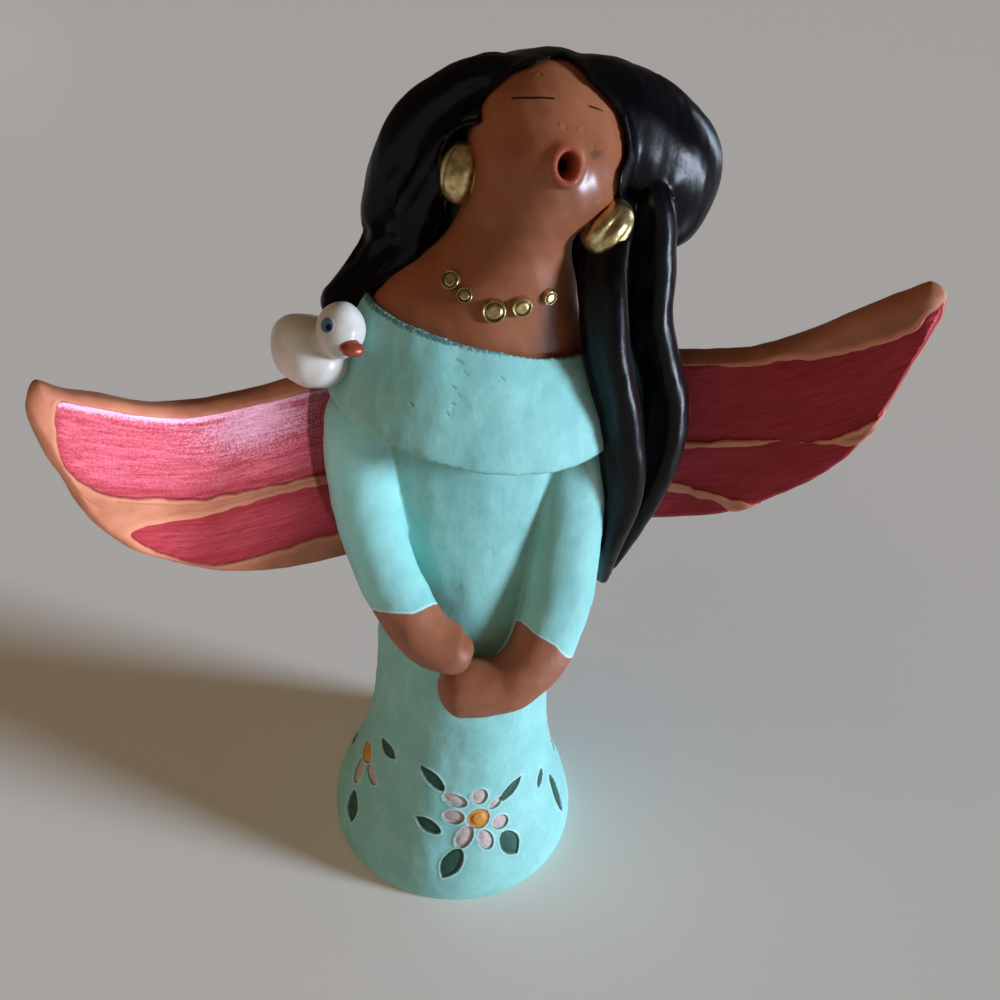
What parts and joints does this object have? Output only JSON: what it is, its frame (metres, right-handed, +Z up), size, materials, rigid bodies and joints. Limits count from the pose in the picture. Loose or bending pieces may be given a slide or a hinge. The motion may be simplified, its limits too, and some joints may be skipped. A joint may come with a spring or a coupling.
{
  "type": "folk art angel figurine",
  "caption": "Hand-modelled fired-clay angel in a bell skirt, head thrown back in song, with curved slab wings, long hair and a dove on one shoulder.",
  "frame": {"origin": "centre of the round underside of the skirt, on the surface that the figurine stands on", "axes": "+Z up, the figure's front faces -Y, +X is to the right for someone facing it"},
  "size_m": [0.1946, 0.0709, 0.2221],
  "materials": {
    "turquoise_paint": "satin paint over fired clay, faint mottling",
    "brown_slip": "burnished reddish-brown slip, semi-gloss",
    "black_paint": "satin black paint",
    "terracotta": "burnished bare clay, satin",
    "crimson_paint": "brushed metallic crimson paint",
    "white_paint": "glossy off-white paint",
    "gold_paint": "metallic gold paint"
  },
  "bodies": {
    "root": {"angel_figurine": "turquoise_paint"}
  },
  "joints": []
}
